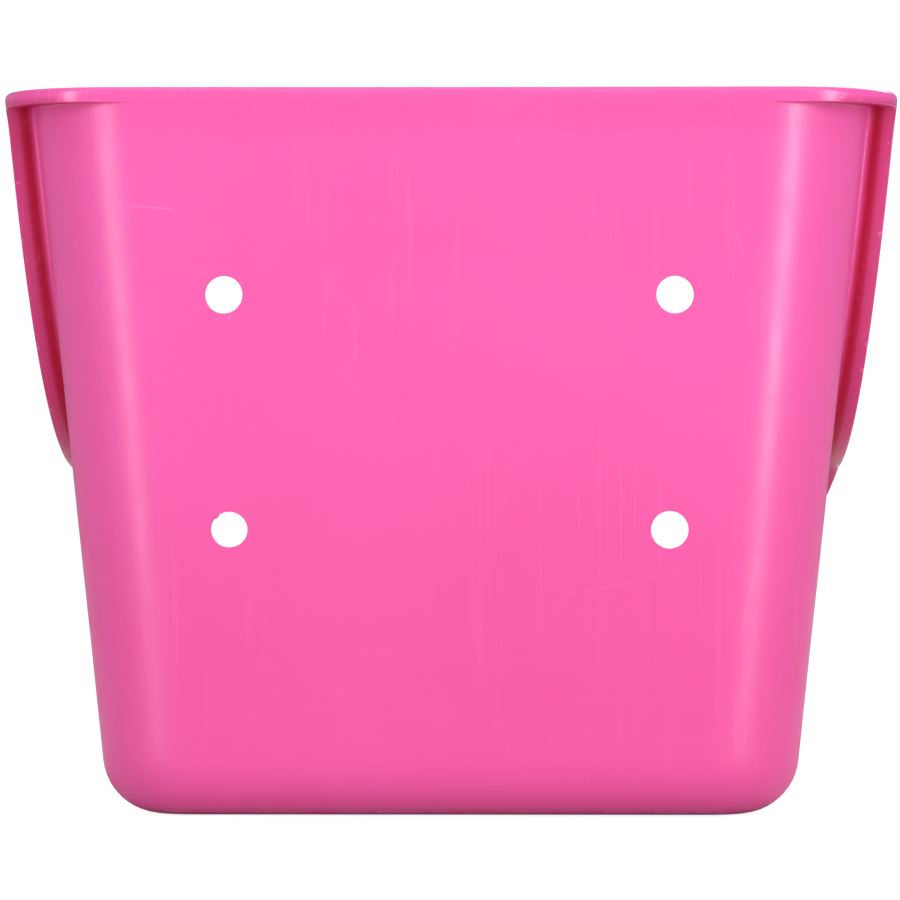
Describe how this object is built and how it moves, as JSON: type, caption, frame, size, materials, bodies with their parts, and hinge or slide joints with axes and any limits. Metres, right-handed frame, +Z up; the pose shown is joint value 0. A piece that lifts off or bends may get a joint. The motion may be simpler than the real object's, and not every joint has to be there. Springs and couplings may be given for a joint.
{
  "type": "feed bucket",
  "caption": "Flat-backed plastic feed bucket with a tall drilled back, curved cut-away sides, a low scooped front and a turned-out rim.",
  "frame": {"origin": "on the floor, under the centre of the bucket's bounding box", "axes": "+X along the width, to the right of someone who faces the flat back; +Y from the flat back to the low front; +Z up"},
  "size_m": [0.3644, 0.25, 0.293],
  "materials": {
    "pink_plastic": "glossy moulded polyethylene, pink, lightly scuffed"
  },
  "bodies": {
    "root": {"bucket_shell": "pink_plastic"}
  },
  "joints": []
}
